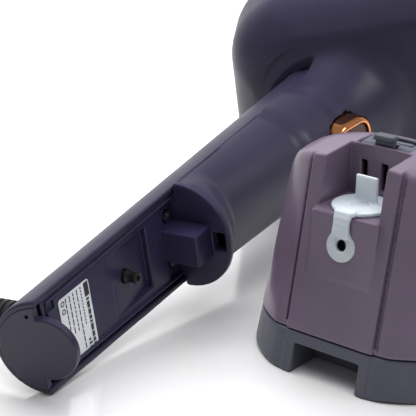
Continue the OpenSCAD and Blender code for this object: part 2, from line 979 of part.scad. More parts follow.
module tank_base() {
    color(slate)
        tank()
            blended()
                difference() {
                    union() {
                        loft([tank_ring(0, 3.2, 0.9 - 3.2, 56), tank_ring(3, 0.9, 0, 56),
                              tank_ring(7, 0, 0.9, 56), tank_ring(band_h + 2, 0, 0.9, 56)]);
                        face_slab(face_w / 2, 0, band_h + 2, 6);
                    }
                    block([-60, -20, band_h], [60, 90, band_h + 9]);
                    difference() {
                        loft([tank_ring(-1, 6, 0.9, 56), tank_ring(4, 3.4, 0.9, 56),
                              tank_ring(band_h - 3, 2.6, 0.9, 56)]);
                        block([-16.4, -5, -2], [16.4, 18.5, band_h]);
                        for (x = [-1, 1])
                            translate([x * 30, 36, -2]) cylinder(r = 4.5, h = band_h + 2);
                    }
                    block([-13.2, -5, -1], [13.2, 15.5, 10.6]);
                    for (x = [-1, 1])
                        translate([x * 30, 36, 0]) {
                            translate([0, 0, -1]) cylinder(r = 3, h = 5);
                            translate([0, 0, 2]) cylinder(r = 1.6, h = band_h);
                        }
                }
}

module tank_gasket() {
    color(silicone)
        tank()
            blended()
                difference() {
                    loft([tank_ring(band_h, 2.7, 0.9, 56), tank_ring(band_h + 1.6, 2.7, 0.9, 56)]);
                    loft([tank_ring(band_h - 1, 5, 0.9, 56), tank_ring(band_h + 3, 5, 0.9, 56)]);
                    block([-60, -10, band_h - 1], [60, band_h * face_t + 7, 30]);
                }
}

module base_screws() {
    color(silver)
        tank()
            for (x = [-1, 1])
                translate([x * 30, 36, 0])
                    difference() {
                        union() {
                            translate([0, 0, 2]) cylinder(r = 2.8, h = 2);
                            translate([0, 0, 4]) cylinder(r = 1.5, h = 10);
                        }
                        block([-1.6, -0.3, 1.9], [1.6, 0.3, 2.8]);
                    }
}

// Places a child on the outlet's axis, z pointing into the tank
module outlet() {
    tank()
        translate([0, outlet_z * face_t, outlet_z])
            rotate([-lean - 90, 0, 0])
                children();
}

module valve_seat() {
    color(slate)
        outlet()
            difference() {
                cylinder(r = 4.5, h = 15);
                translate([0, 0, -1]) cylinder(r = 3.3, h = 6.4);
                translate([0, 0, 5]) cylinder(r = 1.6, h = 3);
                translate([0, 0, 7.2]) cylinder(r = 3.3, h = 6.3);
                translate([0, 0, 13]) cylinder(r = 1, h = 3);
                translate([-6, -0.8, 8.8]) cube([3, 1.6, 2]);
            }
}

module valve_poppet() {
    color(silicone)
        outlet() {
            translate([0, 0, 3.6]) cylinder(r = 1.2, h = 4);
            translate([0, 0, 7.25]) cylinder(r = 2.6, h = 1.2);
        }
}

module valve_spring() {
    color(silver)
        outlet() translate([0, 0, 8.5]) coil_spring(2, 0.25, 4.4, 4);
}

module suction_tube() {
    color(silicone)
        tank()
            hose([[0, 25.6, 44.7], [0, 31, 43], [0, 36, 38], [0, 38, 31], [0, 38, 24.1]], 2, 1);
}

module suction_weight() {
    color(silver)
        tank()
            translate([0, 38, 16.2])
                difference() {
                    cylinder(r = 5, h = 7.8);
                    translate([0, 0, 2]) cylinder(r = 1, h = 7);
                }
}

module latch_plate() {
    color(slate)
        tank()
            difference() {
                block([-10.2, latch_y - 2.4, latch_z - 5], [10.2, latch_y + 8.8, latch_z]);
                block([-4.2, latch_y - 1.9, latch_z - 6], [4.2, latch_y + 1.9, latch_z + 1]);
                block([-3.4, latch_y + 1.8, latch_z - 4], [3.4, latch_y + 7.6, latch_z - 1]);
                block([-8, latch_y + 3, latch_z - 1.2], [8, latch_y + 8, latch_z + 1]);
            }
}

module latch_hook() {
    color(slate)
        tank() {
            block([-3.4, latch_y - 1.8, latch_z - 4], [3.4, latch_y + 0.6, latch_z + 3.6]);
            block([-3.4, latch_y - 2.6, latch_z + 2.4], [3.4, latch_y + 1.2, latch_z + 3.6]);
            block([-3, latch_y + 0.5, latch_z - 3.8], [3, latch_y + 3.3, latch_z - 1.3]);
            block([-3, latch_y + 3.2, latch_z - 3.8], [3, latch_y + 4, latch_z + 1]);
            block([-7.8, latch_y + 3.2, latch_z - 1], [7.8, latch_y + 5.8, latch_z + 0.8]);
        }
}

module latch_spring() {
    color(silver)
        tank()
            translate([0, latch_y + 4, latch_z - 2.5])
                rotate([-90, 0, 0]) coil_spring(1, 0.2, 3.6, 4);
}

module stopper() {
    color(silicone)
        tank()
            translate([0, fill_y, shelf_h])
                union() {
                    cylinder(r = 10.2, h = 1.2);
                    translate([0, 0, -4]) cylinder(r = 4.9, h = 4.1);
                    block([-4.4, 2.2, 1.2], [4.4, 3.4, 11]);
                }
}

// Strap from the ring round the outlet up to the stopper's disc
module stopper_strap() {
    top = shelf_h + 0.1;
    front = wedge_y(shelf_h);
    color(silicone)
        tank()
            difference() {
                union() {
                    translate([0, wedge_y(outlet_z), outlet_z])
                        rotate([-atan(wedge_y(1) - wedge_y(0)) - 90, 0, 0])
                            translate([0, 0, -1.4]) cylinder(r = 5, h = 1.2);
                    rotate([90, 0, 90])
                        translate([0, 0, -3.2])
                            linear_extrude(6.4)
                                polygon([[wedge_y(50) - 1.4, 50], [wedge_y(50) - 0.2, 50],
                                         [front - 0.2, top], [fill_y - 10.6, top],
                                         [fill_y - 10.6, top + 1.2], [front - 1.4, top + 1.2]]);
                }
                translate([0, outlet_z * face_t, outlet_z])
                    rotate([-lean - 90, 0, 0]) translate([0, 0, -6]) cylinder(r = 3.1, h = 8);
            }
}

rear_shell();
main_shell();
base_plate();
bay_plate();
bulkhead();
rating_label();
inlet_probe();
inlet_hose();
pump_body();
pump_coil();
pump_plunger();
pump_spring();
outlet_hose();
circuit_board();
switch_body();
switch_button();
trigger_frame();
trigger_insert();
trigger_spring();
steam_chamber();
chamber_cover();
chamber_gasket();
heating_element();
thermostat();
thermal_fuse();
heat_shield();
plate_bezel();
steam_plate();
bay_screws();
handle_screws();
plate_screws();
strain_relief();
cord_clamp();
power_cord();
cord_coil();
cord_tie();
plug_lead();
plug_body();
plug_pins();
tank_shell();
tank_base();
tank_gasket();
base_screws();
valve_seat();
valve_poppet();
valve_spring();
suction_tube();
suction_weight();
latch_plate();
latch_hook();
latch_spring();
stopper();
stopper_strap();
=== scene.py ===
"""A handheld garment steamer on its side, with its water tank standing beside it."""
import math

import bmesh
import bpy
import numpy as np
import openvdb
from mathutils import Matrix, Vector


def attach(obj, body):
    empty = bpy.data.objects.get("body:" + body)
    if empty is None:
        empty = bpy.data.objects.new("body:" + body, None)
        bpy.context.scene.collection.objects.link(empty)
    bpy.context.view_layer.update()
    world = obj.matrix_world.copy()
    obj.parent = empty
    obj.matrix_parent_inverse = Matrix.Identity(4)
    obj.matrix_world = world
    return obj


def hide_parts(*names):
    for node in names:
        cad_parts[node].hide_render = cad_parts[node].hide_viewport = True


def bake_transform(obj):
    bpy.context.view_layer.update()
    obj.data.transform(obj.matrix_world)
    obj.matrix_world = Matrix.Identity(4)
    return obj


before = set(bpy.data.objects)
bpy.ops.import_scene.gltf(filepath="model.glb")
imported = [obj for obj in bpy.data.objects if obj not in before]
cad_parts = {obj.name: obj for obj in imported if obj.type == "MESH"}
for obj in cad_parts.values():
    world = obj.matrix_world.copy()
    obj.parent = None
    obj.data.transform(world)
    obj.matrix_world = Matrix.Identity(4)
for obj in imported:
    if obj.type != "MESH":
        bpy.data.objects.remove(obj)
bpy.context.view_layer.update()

MM = 0.001

# Driving sizes in millimetres, the same as the part's
LEAN = 12.5                   # lean of the handle over the docked tank, degrees
FACE_T = math.tan(math.radians(LEAN))
HEAD_Z = 203                  # head's underside, up the handle
HEAD_TILT = 22                # degrees
HEAD_FRONT = 50               # main shell's front edge, ahead of the handle's axis
HEAD_H = 76
BASE_R, ROOT_R, REAR_LEN = 18.2, 22.8, 191    # handle's radii at its ends, and its length
WALL = 2.2
SEAM_N = -0.9                 # seam between the handle's halves, off its axis
FLOOR_N = -2.2                # bay's floor, off the handle's axis
BAY_LEN = 84.6
GRIP_START = 87
TONGUE_R = 11.6
LABEL_W, LABEL_Z = -2.3, 21.5     # middle of the rating label, across and along the bay
PRINT_UP = 0.18               # print's height over the bay's floor
PROBE_Z = 51.5
TRIGGER_N, TRIGGER_Z, TRIGGER_SLOPE = 23.5, 176, 11
TRIGGER_W, TRIGGER_L = 25, 28
FACE_W, FACE_H, BAND_H, SHELF_H = 35.3, 73.8, 14.7, 58.2    # tank's face, base and shelf
WEDGE_START, WEDGE_OUT = 35, 2.4  # the wedge on the face: its lower end and how far it leans out
RECESS_W, RECESS_D = 12, 31.5     # half width and depth of the recess in the tank
FILL_Y, OUTLET_Z = 21, 48     # middles of the filler hole and of the outlet
LATCH_Y, LATCH_Z = 34.9, 76
CORD_R, CORD_LEN = 3.5, 1.8   # cord's radius in millimetres and its length in metres
CORD_Z = 14.5                 # cord's exit, up the handle
BOOT_START, BOOT_LEN = 18.6, 30
BOOT_END = BOOT_START + BOOT_LEN
COIL_C, COIL_R, COIL_TURNS = (-180, -82), 52.5, 6
COIL_IN = -90                 # where the cord joins its coil, in degrees seen from above


# ---- Places ----

def turned(axis, degrees):
    return Matrix.Rotation(math.radians(degrees), 4, axis)


def moved(x, y, z):
    return Matrix.Translation((x, y, z))


HAND = (moved(-31.4, -143.8, 18.1) @ turned("X", 8.5) @ turned("Z", -90)
        @ turned("Y", -90) @ turned("Z", -2.9))
TRIGGER_SEAT = HAND @ moved(0, TRIGGER_N, TRIGGER_Z) @ turned("X", -TRIGGER_SLOPE)
END = HAND @ turned("X", LEAN)
TANK = moved(41.3, -86.9, 0) @ turned("Z", -8.5)
PLUG = moved(-229, -44, 7.2) @ turned("X", -90)


def at(place, x, y, z):
    """A point of a place, in metres in the shared frame."""
    return (place @ Vector((x, y, z))) * MM


# ---- Camera ----

CAMERA_AT = (223.17, -458.65, 215.82)
CAMERA_LOOKS = (-0.4883, 0.8012, -0.3458)
CAMERA_LENS, CAMERA_SENSOR = 117.52, 36


def make_camera():
    data = bpy.data.cameras.new("camera")
    data.lens = CAMERA_LENS
    data.sensor_width = CAMERA_SENSOR
    data.clip_start = 0.01
    camera = bpy.data.objects.new("camera", data)
    forward = Vector(CAMERA_LOOKS).normalized()
    camera.rotation_euler = forward.to_track_quat("-Z", "Y").to_euler()
    camera.location = Vector(CAMERA_AT) * MM
    bpy.context.scene.collection.objects.link(camera)
    bpy.context.scene.camera = camera


make_camera()


# ---- Materials ----

def tree_of(name):
    material = bpy.data.materials.new(name)
    material.use_nodes = True
    nodes, links = material.node_tree.nodes, material.node_tree.links
    return material, nodes, links, nodes["Principled BSDF"]


def noise(nodes, links, scale, detail=4.0, rough=0.55):
    coords = nodes.new("ShaderNodeTexCoord")
    texture = nodes.new("ShaderNodeTexNoise")
    texture.inputs["Scale"].default_value = scale
    texture.inputs["Detail"].default_value = detail
    texture.inputs["Roughness"].default_value = rough
    links.new(coords.outputs["Object"], texture.inputs["Vector"])
    return texture


def ranged(nodes, links, source, low, high):
    span = nodes.new("ShaderNodeMapRange")
    span.inputs["From Min"].default_value = 0.3
    span.inputs["From Max"].default_value = 0.7
    span.inputs["To Min"].default_value = low
    span.inputs["To Max"].default_value = high
    links.new(source, span.inputs["Value"])
    return span.outputs["Result"]


def mixed(nodes, links, factor, a, b):
    mix = nodes.new("ShaderNodeMix")
    mix.data_type = "RGBA"
    mix.inputs[6].default_value = (*a, 1)
    mix.inputs[7].default_value = (*b, 1)
    links.new(factor, mix.inputs[0])
    return mix.outputs[2]


def plastic(name, colour, roughness=0.4, grain=0.25, spread=0.12, **sockets):
    """A moulded plastic: slight colour drift, uneven gloss and a fine grain."""
    material, nodes, links, shader = tree_of(name)
    drift = noise(nodes, links, 35)
    darker = [c * (1 - spread) for c in colour]
    lighter = [min(1, c * (1 + spread)) for c in colour]
    links.new(mixed(nodes, links, ranged(nodes, links, drift.outputs["Fac"], 0, 1), darker, lighter),
              shader.inputs["Base Color"])
    gloss = noise(nodes, links, 90, 6)
    links.new(ranged(nodes, links, gloss.outputs["Fac"], roughness * 0.92, roughness * 1.1),
              shader.inputs["Roughness"])
    fine = noise(nodes, links, 2600, 2)
    bump = nodes.new("ShaderNodeBump")
    bump.inputs["Strength"].default_value = grain
    bump.inputs["Distance"].default_value = 0.00004
    links.new(fine.outputs["Fac"], bump.inputs["Height"])
    links.new(bump.outputs["Normal"], shader.inputs["Normal"])
    for socket, value in sockets.items():
        shader.inputs[socket.replace("_", " ")].default_value = value
    return material


def metal(name, colour, roughness=0.25, brushed=0.0):
    """A bare or plated metal with fine, slightly drawn-out scratches."""
    material, nodes, links, shader = tree_of(name)
    shader.inputs["Metallic"].default_value = 1.0
    drift = noise(nodes, links, 60)
    darker = [c * 0.85 for c in colour]
    links.new(mixed(nodes, links, ranged(nodes, links, drift.outputs["Fac"], 0, 1), darker, colour),
              shader.inputs["Base Color"])
    lines = noise(nodes, links, 900, 3)
    stretch = nodes.new("ShaderNodeMapping")
    stretch.inputs["Scale"].default_value = (1, 1, 1 - 0.95 * brushed)
    links.new(lines.inputs["Vector"].links[0].from_socket, stretch.inputs["Vector"])
    links.new(stretch.outputs["Vector"], lines.inputs["Vector"])
    links.new(ranged(nodes, links, lines.outputs["Fac"], roughness * 0.8, roughness * 1.25),
              shader.inputs["Roughness"])
    bump = nodes.new("ShaderNodeBump")
    bump.inputs["Strength"].default_value = 0.12 + 0.3 * brushed
    bump.inputs["Distance"].default_value = 0.00003
    links.new(lines.outputs["Fac"], bump.inputs["Height"])
    links.new(bump.outputs["Normal"], shader.inputs["Normal"])
    return material


def silicone_of(name, colour, through=0.25):
    """A soft, cloudy silicone that lets some light through."""
    material = plastic(name, colour, 0.42, 0.12, 0.05)
    shader = material.node_tree.nodes["Principled BSDF"]
    shader.inputs["Subsurface Weight"].default_value = 0.6
    shader.inputs["Subsurface Radius"].default_value = (0.004, 0.004, 0.004)
    shader.inputs["Subsurface Scale"].default_value = 1.0
    shader.inputs["Transmission Weight"].default_value = through
    return material


VIOLET = plastic("violet", (0.02, 0.0175, 0.04), 0.38, Specular_IOR_Level=0.4)
BAY = plastic("bay_violet", (0.021, 0.018, 0.05), 0.42, Specular_IOR_Level=0.4)
PLUM = plastic("smoked_plum", (0.115, 0.083, 0.126), 0.32, 0.12, Specular_IOR_Level=0.5,
               Coat_Weight=0.2, Coat_Roughness=0.15)
SLATE = plastic("slate", (0.062, 0.064, 0.088), 0.42)
BLACK = plastic("black", (0.010, 0.010, 0.011), 0.38)
RUBBER = plastic("cord_rubber", (0.012, 0.012, 0.013), 0.5, 0.4)
SILICONE = silicone_of("silicone", (0.62, 0.68, 0.74))
RED_SILICONE = silicone_of("red_silicone", (0.5, 0.08, 0.06), 0.0)
IVORY = plastic("ivory", (0.74, 0.7, 0.6), 0.45)
RED = plastic("red_button", (0.55, 0.03, 0.02), 0.3)
GREEN = plastic("board_green", (0.03, 0.2, 0.09), 0.35, 0.5)
BROWN = plastic("trigger_brown", (0.055, 0.025, 0.02), 0.38, 0.35)
COPPER = metal("copper_plate", (0.86, 0.36, 0.15), 0.16)
WINDING = metal("copper_wire", (0.72, 0.3, 0.12), 0.3, 0.8)
STEEL = metal("steel", (0.62, 0.62, 0.63), 0.25)
PLATE = metal("plate_steel", (0.66, 0.66, 0.67), 0.2, 1.0)
CAST = metal("cast_aluminium", (0.55, 0.55, 0.57), 0.5)
OXIDE = metal("element_oxide", (0.22, 0.19, 0.17), 0.55)
FILM = plastic("label_film", (0.66, 0.68, 0.72), 0.25, 0.05, 0.03)
INK = plastic("label_ink", (0.02, 0.02, 0.022), 0.4, 0.05)


# ---- Solids from distance fields ----

def box_d(x, y, z, low, high, r=0.0):
    """Distance to a box with round edges."""
    parts = []
    for v, a, b in zip((x, y, z), low, high):
        parts.append(abs(v - (a + b) / 2) - (b - a) / 2 + r)
    outside = np.sqrt(sum(np.maximum(p, 0) ** 2 for p in parts))
    inside = np.minimum(np.maximum(np.maximum(parts[0], parts[1]), parts[2]), 0)
    return outside + inside - r


def plate_d(u, v, w, half_u, half_v, corner, low, high, r=0.0):
    """Distance to a plate with round corners and round edges, from low to high along w."""
    qu = abs(u) - half_u + corner
    qv = abs(v) - half_v + corner
    flat = np.hypot(np.maximum(qu, 0), np.maximum(qv, 0)) + np.minimum(np.maximum(qu, qv), 0) - corner
    return capped(flat, w, low, high, r)


def capped(flat, w, low, high, r=0.0):
    """A flat outline's distance given thickness from low to high along w, edges rounded by r."""
    a = flat + r
    b = abs(w - (low + high) / 2) - (high - low) / 2 + r
    return np.hypot(np.maximum(a, 0), np.maximum(b, 0)) + np.minimum(np.maximum(a, b), 0) - r


def rod_d(u, v, w, radius, low, high, r=0.0):
    return capped(np.hypot(u, v) - radius, w, low, high, r)


def joined(a, b, k):
    """Union with a fillet of about k."""
    h = np.clip(0.5 + 0.5 * (b - a) / k, 0, 1)
    return b + (a - b) * h - k * h * (1 - h)


def common(a, b, k):
    """Intersection with its edge rounded by about k."""
    return -joined(-a, -b, k)


def cut(a, b, k=0.5):
    """a without b."""
    return common(a, -b, k)


def evened(d, step):
    """A sampled field scaled to be a distance close to its surface."""
    flattest = 0.25
    slopes = np.gradient(d, step)
    return d / np.maximum(np.sqrt(sum(s * s for s in slopes)), flattest)


def slopes_at(shape, p, h=0.03):
    """The field's slope at points, from the shape itself."""
    return np.stack([(shape(*(p + step).T) - shape(*(p - step).T)) / (2 * h)
                     for step in h * np.eye(3)], axis=1)


def carved(name, place, low, high, step, shape, material, body, replaces=()):
    """A piece whose surface is where shape(x, y, z) is zero, in place's own axes.

    The grid gives the faces. Their corners then move onto the shape's own surface,
    and the normals come from the shape too, so that flat and round faces shade evenly.
    """
    step = step * 1
    low, high = np.array(low, float), np.array(high, float)
    count = np.ceil((high - low) / step).astype(int) + 1
    axes = [low[k] + step * np.arange(count[k]) for k in range(3)]
    x, y, z = np.meshgrid(*axes, indexing="ij", sparse=True)
    field = np.broadcast_to(shape(x, y, z), count).astype(np.float32)
    field = evened(field, step)
    band = 3 * step
    grid = openvdb.FloatGrid(band)
    grid.copyFromArray(np.clip(field, -band, band))
    points, quads = grid.convertToQuads()
    local = low + points.astype(float) * step
    for _ in range(2):
        slope = slopes_at(shape, local)
        steep = np.maximum((slope ** 2).sum(axis=1), 0.05)
        shift = slope * (shape(*local.T) / steep)[:, None]
        far = np.maximum(np.linalg.norm(shift, axis=1, keepdims=True) / (0.4 * step), 1)
        local = local - shift / far
    normals = slopes_at(shape, local)
    normals /= np.maximum(np.linalg.norm(normals, axis=1, keepdims=True), 1e-6)
    corners = local[quads]
    across = np.cross(corners[:, 2] - corners[:, 0], corners[:, 3] - corners[:, 1])
    if (across * normals[quads[:, 0]]).sum() < 0:
        quads = quads[:, ::-1]
    mesh = bpy.data.meshes.new(name)
    turn = np.array(place.to_3x3())
    world = (local @ turn.T + np.array(place.translation)) * MM
    mesh.from_pydata(world.tolist(), [], quads.tolist())
    mesh.shade_smooth()
    mesh.normals_split_custom_set_from_vertices((normals @ turn.T).tolist())
    return placed(name, mesh, material, body, replaces)


def placed(name, mesh, material, body, replaces=()):
    piece = bpy.data.objects.new(name, mesh)
    bpy.context.scene.collection.objects.link(piece)
    mesh.materials.clear()
    mesh.materials.append(material)
    if body:
        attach(piece, body)
    if replaces:
        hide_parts(*replaces)
    return piece


def stacked(name, rings):
    """A closed mesh through rings of points, all with the same number, in metres."""
    mesh = bpy.data.meshes.new(name)
    bm = bmesh.new()
    rings = [[bm.verts.new(p) for p in ring] for ring in rings]
    for lower, upper in zip(rings, rings[1:]):
        for i in range(len(lower)):
            j = (i + 1) % len(lower)
            bm.faces.new((lower[i], lower[j], upper[j], upper[i]))
    bm.faces.new(rings[0][::-1])
    bm.faces.new(rings[-1])
    bmesh.ops.recalc_face_normals(bm, faces=bm.faces)
    bm.to_mesh(mesh)
    bm.free()
    return mesh


def spun(name, place, profile, material, body, replaces=(), steps=48):
    """A turned piece: profile is (radius, height) points round place's z axis."""
    rings = []
    for radius, height in profile:
        angles = [2 * math.pi * i / steps for i in range(steps)]
        rings.append([at(place, radius * math.cos(a), radius * math.sin(a), height) for a in angles])
    mesh = stacked(name, rings)
    mesh.shade_smooth()
    mesh.set_sharp_from_angle(angle=math.radians(40))
    return placed(name, mesh, material, body, replaces)


# ---- Cord ----

def spline(points, steps):
    """A smooth curve through points, the same as the part's."""
    out = []
    last = len(points) - 1
    for i in range(last):
        a, b = points[max(i - 1, 0)], points[i]
        c, d = points[i + 1], points[min(i + 2, last)]
        for k in range(steps):
            t = k / steps
            out.append(0.5 * (2 * b + (c - a) * t + (2 * a - 5 * b + 4 * c - d) * t * t
                              + (3 * b - a - 3 * c + d) * t ** 3))
    return out + [points[last]]


def free_route():
    """The visible stretch: out of the handle and down to the coil."""
    inside = [HAND @ Vector((0, -n, CORD_Z)) for n in (24, 37, BOOT_END, BOOT_END + 8)]
    laid = [(-98, -132.5, 14.2), (-109, -133, 9.9), (-120, -133.5, 6), (-131, -133.5, 3.9),
            (-143, -133, 3.5), (-156, -132, 3.5), (-168, -131.2, 3.5), (-180, -131, 3.5)]
    return spline(inside + [Vector(p) for p in laid], 3)


def coil_route():
    """Six turns and a quarter, clockwise from above: inwards on the surface, then outwards on top."""
    turns = COIL_TURNS + 0.25
    steps = 36
    outer = COIL_R - CORD_R
    out = []
    for i in range(1, int(turns * steps) + 1):
        t = i / steps
        layer = (turns / 2 - abs(t - turns / 2)) / (turns / 2)
        radius = outer - 4 * CORD_R * min(1, layer * 1.08)
        lift = min(max((t - turns / 2 + 0.2) / 0.4, 0), 1)
        angle = math.radians(COIL_IN) - 2 * math.pi * t
        out.append(Vector((COIL_C[0] + radius * math.cos(angle), COIL_C[1] + radius * math.sin(angle),
                           CORD_R + 2 * CORD_R * lift)))
    return out


def lead_route():
    points = [(-229, -72, 9.9), (-229, -62, 8.3), (-229, -54, 7.3), (-229, -49, 7.2), (-229, -44, 7.2)]
    return spline([Vector(p) for p in points], 3)


def tube_mesh(name, route, radius, sides=16):
    """A round tube along a route, which never stands upright."""
    angles = [2 * math.pi * k / sides for k in range(sides)]
    rings = []
    for i, p in enumerate(route):
        run = (route[min(i + 1, len(route) - 1)] - route[max(i - 1, 0)]).normalized()
        side = run.cross(Vector((0, 0, 1))).normalized()
        up = side.cross(run)
        rings.append([(p + radius * (side * math.cos(a) + up * math.sin(a))) * MM for a in angles])
    mesh = stacked(name, rings)
    mesh.shade_smooth()
    return mesh


def make_cord():
    route = free_route() + coil_route() + lead_route()
    cord = placed("mains_cord", tube_mesh("mains_cord", route, CORD_R), RUBBER, "handset",
                  ("power_cord", "cord_coil", "plug_lead"))
    boot = make_boot()
    plug = make_plug()
    tie = make_tie()


def make_boot():
    """The ribbed strain relief: a flange in the wall, then rings cut round a tapered sleeve."""
    profile = [(CORD_R + 0.05, 12), (6, 12), (6, 13.6), (4.1, 13.6), (4.1, 18.2), (6.1, 18.2),
               (6.1, 20.4), (5.6, 20.8)]
    ribs, deep = 9, 0.6
    start, end = 21.2, BOOT_END
    pitch = (end - start - 2) / ribs
    for i in range(ribs):
        z = start + (end - start - 2) * i / ribs
        r = 5.5 - 1.2 * (z - start) / (end - start)
        profile += [(r, z), (r, z + pitch * 0.6)]
        profile += [(r - deep, z + pitch * 0.68), (r - deep, z + pitch * 0.95)]
    profile += [(4.3, end - 1.8), (4.2, end - 0.3), (CORD_R + 0.05, end)]
    place = HAND @ moved(0, 0, CORD_Z) @ turned("X", 90)
    return spun("strain_relief_boot", place, profile, RUBBER, "handset",
                ("strain_relief",), 40)


def make_plug():
    """A moulded two-pin plug: a ribbed neck that flares into a waisted body."""
    def shape(x, y, z):
        neck = np.hypot(x, y) - (4.5 + 0.07 * z)
        grooves = np.where((z > 2) & (z < 20), 0.45 * np.maximum(np.sin(z * math.pi / 1.8), 0), 0)
        neck = common(neck + grooves * (abs(x) > 1.2), box_d(x, y, z, (-9, -9, 0), (9, 9, 26)), 0.4)
        waist = 0.9 * np.exp(-((z - 36) / 7) ** 2)
        body = plate_d(x, y, z, 13 - waist, 6.6 - 0.8 * waist, 5, 22, 54, 1.6)
        grips = np.zeros_like(z)
        for k in range(4):
            grips = grips + 0.5 * np.exp(-((z - 31 - 3.2 * k) / 0.7) ** 2)
        return joined(neck, body + grips * (abs(x) > 9.5), 2)
    return carved("mains_plug", PLUG, (-15, -9, -1), (15, 9, 56), 0.5, shape, BLACK, "handset",
                  ("plug_body",))


def make_tie():
    """A hook-and-loop strap round the coil."""
    inner, outer, top = COIL_R - 6 * CORD_R, COIL_R, 4 * CORD_R
    thick = 0.9

    def shape(x, y, z):
        r = np.hypot(x, y)
        u, v = r - (inner + outer) / 2, z - top / 2
        wide, high = (outer - inner) / 2, top / 2
        round_coil = plate_d(u, v, y, wide + thick, high + thick, 3.4, -5, 5, 0.3)
        hollow = plate_d(u, v, y, wide, high, 3.2, -9, 9)
        floor = 0.05 - z
        return common(common(cut(round_coil, hollow, 0.2), floor, 0.2), -x, 0.2)
    place = moved(COIL_C[0], COIL_C[1], 0)
    return carved("cord_strap", place, (inner - 3, -7, -1), (outer + 3, 7, top + 3), 0.35, shape,
                  RUBBER, "handset", ("cord_tie",))


make_cord()


# ---- Handset ----

def handle_r(z):
    return BASE_R + (ROOT_R - BASE_R) * z / REAR_LEN


def neck_d(x, y, z):
    """The neck: the handle's round end, fuller in front, then a flare to the head's underside."""
    tilt = math.radians(HEAD_TILT)
    v = (z - HEAD_Z) * math.cos(tilt) - y * math.sin(tilt)
    up = np.clip((z - 158) / 30, 0, 1)
    up = up * up * (3 - 2 * up)
    flare_z, front_r = 184, 24.4
    flare = np.clip((z - flare_z) / (np.maximum(z - flare_z, 0) + np.maximum(-v, 0.01)), 0, 1)
    flare = flare ** 1.7
    forward = np.clip((y + 2) / 14, 0, 1)
    fuller = (front_r - handle_r(z)) * up * forward ** 2 * (3 - 2 * forward)
    radius = handle_r(z) + fuller + 5.4 * flare
    middle = 0.5 * up + 3.7 * flare
    squash = 1 - flare * (1 - math.cos(tilt))
    return np.hypot(x, (y - middle) / squash) - radius


def head_d(x, y, z):
    """The head: round corners, a rolled edge above a flat underside, and a domed top.

    Also gives h and v: how far a point is to the head's front, and above its underside.
    """
    c, s = math.cos(math.radians(HEAD_TILT)), math.sin(math.radians(HEAD_TILT))
    h = y * c + (z - HEAD_Z) * s
    v = (z - HEAD_Z) * c - y * s
    rise = np.clip(v / 24, 0, 1)
    roll = (1 - rise) ** 2.4
    dome = np.clip((v - 42) / (HEAD_H - 42), 0, 1)
    tuck = 13 * roll + 20 * (1 - np.sqrt(1 - np.minimum(dome, 0.999) ** 2.2))
    widest = 38
    half = 48.5 + 0.1 * np.maximum(h, -30) - tuck
    half = half + 0.115 * np.minimum(v, widest) - 0.08 * np.maximum(v - widest, 0)
    rear = -41.3 - 0.02 * v + tuck * 0.95
    corner = 26.5 - 3 * roll - 3 * dome
    front = 90
    qx = abs(x) - half + corner
    qh = abs(h - (front + rear) / 2) - (front - rear) / 2 + corner
    side = np.hypot(np.maximum(qx, 0), np.maximum(qh, 0)) - corner
    side = side + np.minimum(np.maximum(qx, qh), 0)
    return common(common(side, -v, 1.8), v - HEAD_H, 2), h, v


def grip_d(x, y, z):
    """The front half of the grip: full at the bay's end wall, slimmer behind it, then fuller."""
    near = (1 + np.cos(math.pi * np.clip((z - GRIP_START) / 13, 0, 1))) / 2
    half = handle_r(z) + 1.0 * near * np.clip(y / 6, 0, 1)
    depth = np.where(z < 100, 15.6 + 5.9 * near,
                     np.where(z < 125, 15.6 + 2.7 * (z - 100) / 25, 18.3 + 3.9 * (z - 125) / 36))
    depth = np.where(y < SEAM_N, handle_r(z) - 0.7, depth)
    about_r = 18
    return (np.hypot(x / half, (y - SEAM_N) / depth) - 1) * about_r


def trigger_hole(x, y, z):
    """The opening that the trigger slides in: n is off its face and a is along it."""
    c, s = math.cos(math.radians(TRIGGER_SLOPE)), math.sin(math.radians(TRIGGER_SLOPE))
    n = (y - TRIGGER_N) * c - (z - TRIGGER_Z) * s
    a = (y - TRIGGER_N) * s + (z - TRIGGER_Z) * c
    return plate_d(x, a - 0.6, n, TRIGGER_W / 2 - 0.6, TRIGGER_L / 2 - 1.2, 8.5, -16, 20)


def neck_edge(y):
    """Height where the neck starts on the rear side, parallel to the head's underside."""
    return 200.5 + (y - SEAM_N) * math.tan(math.radians(HEAD_TILT))


def main_shape(x, y, z):
    """Grip, neck and head in one, hollow, open in front and behind, with the trigger's hole."""
    grip = common(grip_d(x, y, z), GRIP_START - 0.4 - z, 0.6)
    body = joined(common(grip, z - 172, 6), common(neck_d(x, y, z), 152 - z, 6), 6)
    head, h, v = head_d(x, y, z)
    body = common(body, v - 20, 1)
    solid = joined(body, head, 8)
    inner = common(solid + WALL, 150 - z, 0.5)
    inner = joined(inner, common(solid + WALL, z - 152, 0.5), 0.5)
    lip = np.minimum(np.hypot(x, y) - handle_r(z) - 0.15, neck_edge(y) + 3 - z)
    inner = common(inner, np.minimum(lip, SEAM_N - y), 0.4)
    rear = common(y - SEAM_N + 0.05, z - neck_edge(y), 0.4)
    shell = cut(solid, inner, 0.3)
    shell = common(shell, h - HEAD_FRONT, 0.5)
    shell = cut(shell, rear, 0.4)
    shell = cut(shell, trigger_hole(x, y, z), 0.3)
    return cut(shell, box_d(x, y, z, (-3.7, 14, 80), (3.7, 19.2, 88.7)), 0.3)


def make_main_shell():
    return carved("grip_neck_and_head", HAND, (-64, -50, 84), (64, 84, 300), 1.05, main_shape, VIOLET,
                  "handset", ("main_shell",))


